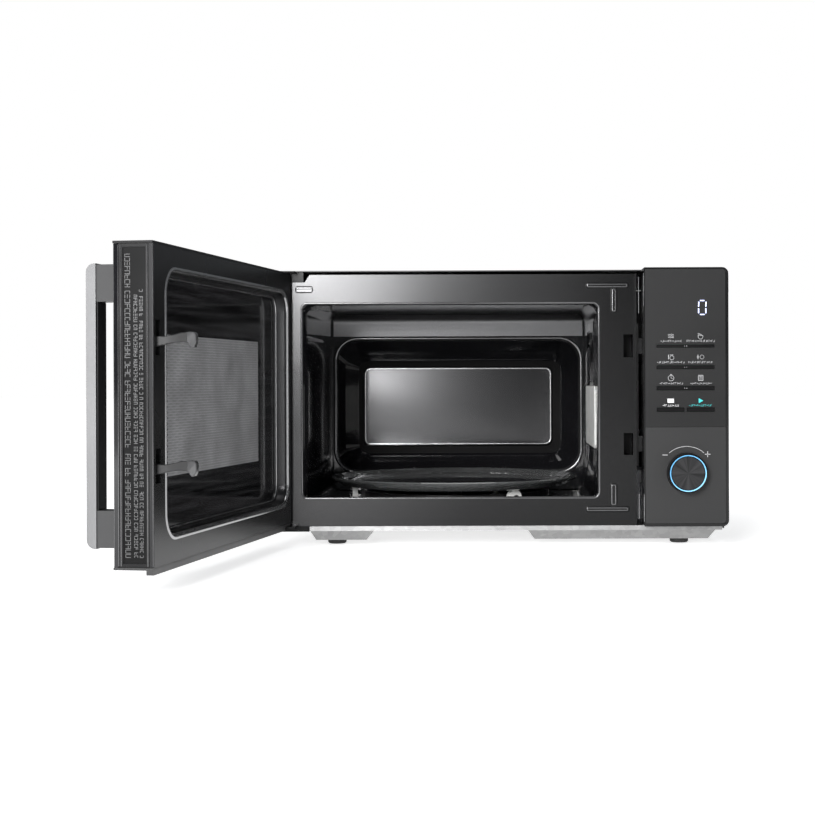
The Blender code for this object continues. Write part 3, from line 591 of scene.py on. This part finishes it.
def cavity_liner():
    """One smooth skin for the ceiling, walls and floor, with rounded corners."""
    x0, x1, _, z1 = OPENING
    outline = rounded(x0, x1, FLOOR_TOP, z1, 12.0, 6)
    shape = bmesh.new()
    depths = [PLATE + 0.4, 60, 120, 180, 240, 300, CAVITY_BACK + 20]
    bridge(shape, [[(x, y, z) for x, z in outline] for y in depths])
    liner = new_piece("cavity_liner", shape, BODY, ENAMEL, "oven", 60)
    thick = liner.modifiers.new("Sheet", "SOLIDIFY")
    thick.thickness = 0.9 * MM
    thick.offset = 1.0
    # Openings: air slots, the waveguide's mouth and the hole for the turntable's shaft
    reach = 4
    cut = bmesh.new()
    for i in range(8):
        add_box(cut, (x1 - reach, 40 + 7 * i, 239), (x1 + reach, 43 + 7 * i, 261))
    add_box(cut, (x1 - reach, 100, 118), (x1 + reach, 230, 177))
    add_rod(cut, (SPIN.x, SPIN.y, FLOOR_TOP - reach), (SPIN.x, SPIN.y, FLOOR_TOP + reach), 7)
    carve(liner, cut, "cavity_liner_cutter")
    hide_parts("cavity_left_wall", "cavity_right_wall", "cavity_ceiling", "cavity_floor")


def cavity_details():
    x0, x1, _, z1 = OPENING
    # Painted highlights: the mouth's and the pan's rims are the soft highlight metal.
    swept("mouth_rim", inset_outline(*OPENING, 7),
          [(-0.6, -0.05), (0.1, -0.35), (0.9, -0.3), (1.6, 0.3), (2.0, 1.4), (2.0, 3.2)],
          BODY, HIGHLIGHT_METAL_SOFT, "oven")
    swept("pan_rim", inset_outline(-226, 111, 67, 250, 30, 14),
          [(inset, CAVITY_BACK + y) for inset, y in
           ((-3.4, -0.05), (-2.4, -0.7), (-0.8, -1.1), (0.8, -0.7), (2.2, 0.6), (3.2, 2.4))],
          BODY, HIGHLIGHT_METAL_SOFT, "oven")
    bend_radius, steps = 12, 10
    quarter = [math.pi / 2 * i / steps for i in range(steps + 1)]
    bend = [(CAVITY_BACK - bend_radius * (1 - math.sin(turn)) - 0.3,
             z1 - bend_radius * (1 - math.cos(turn)) - 0.2) for turn in quarter]
    bend.append((CAVITY_BACK - 0.3, 253.5))
    # Painted highlight: the cove is drawn in the lighter cove enamel.
    cove = bmesh.new()
    bridge(cove, [[(x, y, z) for y, z in bend] for x in (x0 + 2, -120, 0, x1 - 2)], closed=False)
    new_piece("ceiling_cove", cove, BODY, COVE_HIGHLIGHT_ENAMEL, "oven", 60)
    embossed_plate("left_wall_emboss", (44, 276, 84, 246, 10), "X", x0 + 0.02, 1.6, BODY, ENAMEL, "oven", 5)


def back_panel():
    """The raised panel at the back of the pan with a painted fall-off of light, its rim in bright metal as a
    painted highlight, and the flat round it in a darker, hardly reflecting enamel as painted shade.
    """
    u0, u1, v0, v1 = BACK_PANEL
    raised = PAN_BACK - BACK_PANEL_RISE
    rings = ((-196.5, 84.5, 91.5, 219.5, 12, PAN_BACK - 0.4), (-195, 83, 93, 218, 11, PAN_BACK - 0.2),
             (u0 - 2, u1 + 2, v0 - 2.5, v1 + 2, 10, PAN_BACK - 0.2),
             (u0 - 1.1, u1 + 1.1, v0 - 1.3, v1 + 1.1, 9.5, PAN_BACK - 1.6))
    flat = bmesh.new()
    bridge(flat, [[(x, y, z) for x, z in rounded(*edges)] for *edges, y in rings])
    # Painted shade: the flat round the panel is the dark, hardly reflecting enamel.
    new_piece("pan_flat", flat, BODY, PAN_SHADE_ENAMEL, "oven", 30)
    # Painted highlight: the panel's rim is the bright rim metal.
    swept("back_panel_rim", inset_outline(u0 - 0.4, u1 + 0.4, v0 - 0.5, v1 + 0.4, 9),
          [(inset, raised + y) for inset, y in
           ((-0.9, 2.6), (-0.3, 0.4), (0.2, -0.4), (1.0, -0.85), (1.9, -0.7))],
          BODY, HIGHLIGHT_METAL_BRIGHT, "oven")
    embossed_plate("back_wall_panel", (*BACK_PANEL, 9), "Y", raised - 0.05, -0.6, BODY, PANEL_ENAMEL,
                   "oven", 2.0)


# Controls

def print_piece(name, marks, material):
    """One piece of print; each mark is a function that adds its faces to a shape."""
    shape = bmesh.new()
    for add in marks:
        add(shape)
    new_piece(name, shape, BODY, material, "oven")


def stroke(points, width=0.55, closed=False, lift=0.05):
    """A flat line of one width on the panel's face, through (x, z) points."""
    def add(shape):
        count = len(points)
        pairs = [(points[i], points[(i + 1) % count]) for i in range(count if closed else count - 1)]
        for (ax, az), (bx, bz) in pairs:
            length = math.hypot(bx - ax, bz - az) + width * 0.6
            turn = Matrix.Rotation(-math.atan2(bz - az, bx - ax), 4, "Y")
            middle = Vector(((ax + bx) / 2, PANEL_FRONT - lift / 2, (az + bz) / 2))
            matrix = Matrix.Translation(middle) @ turn @ Matrix.Diagonal((length, lift, width, 1))
            bmesh.ops.create_cube(shape, size=1.0, matrix=matrix)
    return add


def arrow(x, z, size):
    """A solid triangle that points to the right."""
    def add(shape):
        corners = [(x - size * 0.8, z - size), (x + size, z), (x - size * 0.8, z + size)]
        bridge(shape, [[(u, y, v) for u, v in corners] for y in (PANEL_FRONT, PANEL_FRONT - 0.05)],
               cap_last=True, cap_first=True)
    return add


def caption(x, z, width, seed, height=1.9):
    """A row of small uneven ticks that stands for a line of small print."""
    chance = random.Random(seed)
    strokes = []
    at = x - width / 2
    while at < x + width / 2:
        tick = chance.uniform(0.5, 1.5)
        low = z - height / 2
        kind = chance.randrange(3)
        if kind == 0:
            strokes.append(stroke([(at, low), (at, low + height)], 0.32))
            strokes.append(stroke([(at, low + height), (at + tick, low + height)], 0.32))
        elif kind == 1:
            strokes.append(stroke([(at, low), (at + tick, low), (at + tick, low + height)], 0.32))
        else:
            strokes.append(stroke([(at, low + height / 2), (at + tick, low + height / 2)], 0.5))
        at += tick + 0.75
    return strokes


def circle(x, z, radius, start=0, end=360, steps=20):
    return arc((x, z), radius, start, end, steps)


def icons():
    """Small generic signs: waves, loaf, weight, flake, clock and list."""
    left, right = KEY_LEFT, KEY_RIGHT
    strokes = []
    for i in range(3):
        wave = [(left - 3 + t * 0.75, 240.5 + 1.7 * i + 0.5 * math.sin(t * 1.6)) for t in range(9)]
        strokes.append(stroke(wave, 0.5))
    loaf = circle(right, 241.2, 2.6, 180, 360, 10) + [(right + 2.6, 242.6), (right - 2.6, 243.4)]
    strokes += [stroke(loaf, 0.5, closed=True),
                stroke([(right - 3, 245), (right + 1, 243.8)], 0.45)]
    strokes += [stroke(circle(left + 1, 217.4, 2.3), 0.5),
                stroke([(left - 2.8, 216), (left - 2.8, 220.8)], 0.6),
                stroke([(left - 1, 220.6), (left + 2.4, 220.6)], 0.6)]
    strokes += [stroke(circle(right + 1.6, 218.3, 2.2), 0.5),
                stroke([(right - 3, 216), (right - 3, 220.6)], 0.6),
                stroke([(right - 4.2, 218.3), (right - 1.8, 218.3)], 0.5)]
    strokes += [stroke(circle(left, 194.4, 3.2), 0.5),
                stroke([(left, 196.2), (left, 194.4), (left + 1.6, 194)], 0.45),
                stroke([(left - 0.8, 198.6), (left + 0.8, 198.6)], 0.5)]
    page = [(right - 2.6, 191.6), (right + 2.6, 191.6), (right + 2.6, 197.4), (right - 2.6, 197.4)]
    strokes.append(stroke(page, 0.5, closed=True))
    for i in range(3):
        strokes.append(stroke([(right - 1.4, 193.2 + 1.4 * i), (right + 1.4, 193.2 + 1.4 * i)], 0.4))
    return strokes


def panel_print():
    strokes = icons()
    rows = ((236.5, 23, 31), (212.4, 31, 27), (188.4, 25, 23))
    for number, (z, left_width, right_width) in enumerate(rows):
        strokes += caption(KEY_LEFT, z, left_width, 11 + number)
        strokes += caption(KEY_RIGHT, z, right_width, 31 + number)
    strokes += [stroke(circle(KNOB.x, KNOB.z, 29.8, 49, 131, 24), 0.65),
                stroke([(184.5, 107.0), (190.0, 107.0)], 0.7),
                stroke([(232.7, 107.7), (238.7, 107.7)], 0.7),
                stroke([(235.7, 104.7), (235.7, 110.7)], 0.7)]
    print_piece("panel_print", strokes, PRINT)
    stop_x, sign_z, caption_z = 194.0, 168.6, 163.3
    block = stroke([(stop_x - 2.2, sign_z), (stop_x + 2.2, sign_z)], 4.6)
    print_piece("stop_print", [block] + caption(stop_x, caption_z, 18, 51), BRIGHT_PRINT)
    print_piece("start_print", [arrow(KEY_RIGHT, sign_z, 2.9)] + caption(KEY_RIGHT, caption_z, 26, 71),
                TEAL_PRINT)
    marks = [stroke([(x, z), (x + 0.35, z)], 0.6, lift=1.3)
             for z in (230.75, 206.7, 182.85) for x in (209.6, 211.9)]
    print_piece("key_marks", marks, PRINT)


def digit():
    """One seven-segment zero: six lit bars with gaps between them."""
    x0, x1, z0, z1 = 226.0, 234.2, 266.6, 282.4
    middle = (z0 + z1) / 2
    lean = 0.3
    bars = [stroke([(x0 + 1.9, z), (x1 - 1.9, z)], 1.15) for z in (z1, z0)]
    for x in (x0, x1):
        bars.append(stroke([(x, middle + 1.3), (x + lean, z1 - 1.7)], 1.2))
        bars.append(stroke([(x, middle - 1.3), (x, z0 + 1.7)], 1.2))
    print_piece("display_digit", bars, DIGIT_LIGHT)


# Door

def door_window():
    """The lit field of the perforated screen, just behind the film's face."""
    x0, x1, z0, z1 = SCREEN
    shape = bmesh.new()
    face = FILM_FACE - 0.05
    corners = [shape.verts.new((x, face, z)) for x, z in ((x0, z0), (x1, z0), (x1, z1), (x0, z1))]
    quad = shape.faces.new(corners)
    grown = bmesh.ops.extrude_face_region(shape, geom=[quad])
    for element in grown["geom"]:
        if isinstance(element, bmesh.types.BMVert):
            element.co.y += 0.12
    layer = shape.loops.layers.uv.new("holes")
    for side in shape.faces:
        for loop in side.loops:
            loop[layer].uv = (loop.vert.co.x / SCREEN_PITCH, loop.vert.co.z / SCREEN_PITCH)
    new_piece("door_screen_field", shape, DOOR, MESH, "door")
    # Painted highlight: a thin border of the soft highlight metal along the field's left, lower and upper
    # edges.
    edge = bmesh.new()
    add_box(edge, (x0 - 0.8, face, z0 - 0.9), (x0 + 0.3, face + 0.3, z1 + 0.4))
    add_box(edge, (x0 - 0.8, face, z0 - 0.9), (x1, face + 0.3, z0 + 0.3))
    add_box(edge, (x0 - 0.8, face, z1 - 0.1), (x1, face + 0.3, z1 + 0.4))
    new_piece("door_screen_border", edge, DOOR, HIGHLIGHT_METAL_SOFT, "door")


def door_lip():
    """The pressed lip round the window: a low ridge, a deep wall, a ledge and a step to the film; the ridge
    and a bead on the ledge are bright metal as painted highlights.
    """
    outline = inset_outline(*RECESS, 22, 12)
    # Painted highlight: the ridge is the bright rim metal.
    swept("door_window_ridge", outline,
          [(-4.0, -2.02), (-3.2, -1.4), (-2.0, -1.1), (-0.8, -1.25), (0.1, -2.1), (0.6, -3.4)],
          DOOR, HIGHLIGHT_METAL_BRIGHT, "door")
    swept("door_window_wall", outline,
          [(0.6, -3.4), (1.3, -4.6), (1.7, -6.0), (2.2, -12.4), (2.8, -13.5), (3.6, -14.0), (4.5, -14.2),
           (5.2, -14.8), (5.6, -15.8), (5.8, -16.55)], DOOR, DOOR_PAINT, "door")
    # Painted highlight: the bead on the ledge is the bright rim metal.
    swept("door_window_bead", outline, [(4.2, -14.15), (4.7, -13.75), (5.3, -13.9), (5.6, -14.6)],
          DOOR, HIGHLIGHT_METAL_BRIGHT, "door")


def latch_hooks():
    """Two hooks on one bar: grey arms with a cranked neck and pale cam tips."""
    arms, tips = bmesh.new(), bmesh.new()
    middle = 148
    add_box(arms, (middle - 3.5, -30, 96), (middle + 3.5, -16, 250.2))
    # Each arm's sections: how far out, half height, rise and half width; then the cam's side outline
    neck = ((-24, 4.6, 0.0, 2.4), (-2, 4.6, 0.0, 2.4), (5, 3.6, 0.6, 2.2), (14, 3.6, 2.2, 2.2),
            (20, 4.2, 3.2, 2.6), (27, 4.6, 3.0, 2.9))
    cam = [(25.5, 7.4), (28, 8.2), (32.6, 7.8), (34.4, 5.4), (34.4, -1.6), (32.6, -5.6), (30, -6.4),
           (28, -4.4), (27.2, -1.6), (25.5, -1.2)]
    for low_edge in HOOK_LOWS:
        z = low_edge + 9.5
        rings = [[(middle - wide, y, z + rise - half), (middle + wide, y, z + rise - half),
                  (middle + wide, y, z + rise + half), (middle - wide, y, z + rise + half)]
                 for y, half, rise, wide in neck]
        bridge(arms, rings, cap_last=True, cap_first=True)
        rings = [[(middle + x, 30 + (y - 30) * share, z + 1 + (rise - 1) * share) for y, rise in cam]
                 for x, share in ((-3.4, 0.86), (-2.8, 1.0), (2.8, 1.0), (3.4, 0.86))]
        bridge(tips, rings, cap_last=True, cap_first=True)
    arm = new_piece("latch_arms", arms, DOOR, HOOK_GREY, "latch")
    bevel = arm.modifiers.new("Rounding", "BEVEL")
    bevel.width = 0.6 * MM
    bevel.segments = 2
    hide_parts("latch_lever")
    new_piece("latch_tips", tips, DOOR, HOOK_TIP, "latch", 30)


def door_edge():
    """Rows of small raised ticks on the free edge's recessed face, lighter grey than the black face as their
    painted highlights, and trims of the soft highlight metal along its rims as painted highlights.
    """
    edge = DOOR_FREE_EDGE
    face = edge - 1.8
    chance = random.Random(5)
    shape = bmesh.new()
    for y, half, z0, z1 in ((-26.6, 2.5, 37, 306), (-19.2, 1.7, 37, 268), (-14.0, 1.7, 37, 274)):
        at = z0
        while at < z1:
            wide = chance.uniform(1.0, 1.35) * half
            if chance.random() < 0.14:
                at += half
                continue
            bars = [((y - half, at), (y + half, at + 0.45)),
                    ((y - half, at), (y - half + 0.45, at + wide)),
                    ((y - 0.2, at), (y + 0.25, at + wide)),
                    ((y + half - 0.45, at), (y + half, at + wide)),
                    ((y - half, at + wide - 0.45), (y + half, at + wide))]
            for (ya, za), (yb, zb) in chance.sample(bars, 3):
                add_box(shape, (face - 0.05, ya, za), (face + 0.3, yb, zb))
            at += wide + 0.75
    # Painted highlight: the ticks are the lighter grey.
    new_piece("door_edge_ticks", shape, DOOR, TICK_HIGHLIGHT_GREY, "door")
    # Painted highlights: trims of the soft highlight metal along the rims.
    trims = bmesh.new()
    for y, wide in ((-38.6, 0.5), (-34.6, 0.7), (-32.4, 0.9), (-7.6, 0.9), (-2.7, 0.6)):
        add_box(trims, (edge - 0.8, y - wide / 2, 29.5), (edge + 0.2, y + wide / 2, 313.5))
    new_piece("door_edge_trims", trims, DOOR, HIGHLIGHT_METAL_SOFT, "door")
    field = bmesh.new()
    add_box(field, (face - 0.3, -30.6, 31.6), (face + 0.02, -9.4, 311.4))
    new_piece("door_edge_field", field, DOOR, KEY_BLACK, "door")


# Front plate

def plate_beads():
    """Pressed beads: a black groove round each as painted shade and a crest of lighter metal along its edge
    as a painted highlight.
    """
    fields = (((101, 149), (300, 305)), ((130, 135.5), (272, 299)), ((128.5, 135), (47, 71.5)),
              ((100, 149), (40, 45)), ((-236.6, -218.0), (295.8, 301.7)))
    for number, ((a, b), (c, d)) in enumerate(fields, 1):
        outline = inset_outline(a, b, c, d, 2.2, 5)
        # Painted shade in the black groove, painted highlight on the lighter crest.
        swept(f"plate_shade_groove_{number}", outline, [(-1.2, -0.02), (-1.0, -0.12), (0.1, -0.12), (0.2, -0.5)],
              BODY, KEY_BLACK, "oven")
        swept(f"plate_highlight_crest_{number}", outline, [(0.1, -0.5), (0.5, -0.84), (1.1, -0.88), (1.6, -0.82)],
              BODY, HIGHLIGHT_METAL_SOFT, "oven")


def panel_edge_highlights():
    """Thin rods of bright metal on the panel moulding's long edges: painted highlights."""
    fillets = ((PANEL_LEFT - 0.1, -36.8, 276, 314, 0.45), (PANEL_LEFT - 0.1, -36.8, 31, 62, 0.45),
               (PANEL_LEFT - 2.6, -0.9, 270, 312, 0.5), (PANEL_LEFT - 2.6, -0.9, 31, 60, 0.5),
               (PANEL_RIGHT - 0.2, -36.9, 292, 311, 0.45))
    shape = bmesh.new()
    for x, y, z0, z1, radius in fillets:
        add_rod(shape, (x, y, z0), (x, y, z1), radius, 8)
    new_piece("panel_edge_painted_highlights", shape, BODY, HIGHLIGHT_METAL_BRIGHT, "oven")


# Studio

def studio():
    """A world that is white to the camera and dim to the oven, over a pale floor that glows far off and less
    near the oven, as a painted soft shadow.
    """
    world = bpy.data.worlds.new("studio")
    world.use_nodes = True
    bpy.context.scene.world = world
    nodes, links = world.node_tree.nodes, world.node_tree.links
    background = nodes["Background"]
    background.inputs["Color"].default_value = (1.0, 1.0, 1.0, 1.0)
    background.inputs["Strength"].default_value = 1.0
    dim = nodes.new("ShaderNodeBackground")
    dim.inputs["Color"].default_value = (0.9, 0.95, 1.0, 1.0)
    dim.inputs["Strength"].default_value = 0.16
    path = nodes.new("ShaderNodeLightPath")
    mixer = nodes.new("ShaderNodeMixShader")
    links.new(path.outputs["Is Camera Ray"], mixer.inputs["Fac"])
    links.new(dim.outputs["Background"], mixer.inputs[1])
    links.new(background.outputs["Background"], mixer.inputs[2])
    links.new(mixer.outputs["Shader"], nodes["World Output"].inputs["Surface"])
    bpy.ops.mesh.primitive_plane_add(size=30.0, location=(0.0, 0.0, -0.0005))
    floor = bpy.context.object
    floor.name = "studio_floor"
    material, shader = new_material("floor", (0.93, 0.93, 0.93), 0.6)
    _, links = nodes_of(material)
    shader.inputs["Emission Color"].default_value = (1.0, 1.0, 1.0, 1.0)
    # Painted shadow: the floor's glow grows from 0.62 within 0.35 m of the middle to 1.0 beyond 1.1 m.
    painted_shadow_distance = vector_math(material, "LENGTH", coordinates(material), output="Value")
    links.new(spread(material, painted_shadow_distance, 0.62, 1.0, 0.35, 1.1), shader.inputs["Emission Strength"])
    floor.data.materials.append(material)


def softbox(name, place, target, width, height, power):
    light = bpy.data.lights.new(name, "AREA")
    light.shape = "RECTANGLE"
    light.size, light.size_y = width, height
    light.energy = power
    item = bpy.data.objects.new(name, light)
    bpy.context.scene.collection.objects.link(item)
    item.location = place
    item.rotation_euler = (Vector(target) - Vector(place)).to_track_quat("-Z", "Y").to_euler()


def camera():
    data = bpy.data.cameras.new("camera")
    data.sensor_width = 36.0
    data.lens = 65.6
    data.shift_x, data.shift_y = -0.1135, -0.0332
    data.clip_end = 50.0
    item = bpy.data.objects.new("camera", data)
    bpy.context.scene.collection.objects.link(item)
    item.location = BODY @ Vector(CAMERA)
    item.rotation_euler = (math.radians(90.0), math.radians(0.2), 0.0)
    bpy.context.scene.camera = item


camera()
studio()
softbox("key_left", (-0.82, -3.0, 0.93), (-0.15, 0.0, 0.25), 0.95, 1.15, 125)
softbox("overhead", (0.1, -0.3, 2.4), (0.1, 0.0, 0.1), 2.0, 1.2, 14)
softbox("right_strip", (1.9, -1.5, 0.9), (0.2, 0.0, 0.15), 0.3, 1.8, 8)
softbox("left_strip", (-2.2, -0.2, 0.8), (-0.35, -0.3, 0.15), 0.5, 1.6, 10)
bpy.context.scene.view_settings.view_transform = "Standard"
dress_cad()
cavity_liner()
cavity_details()
back_panel()
screws()
panel_print()
digit()
door_window()
door_lip()
latch_hooks()
door_edge()
plate_beads()
panel_edge_highlights()
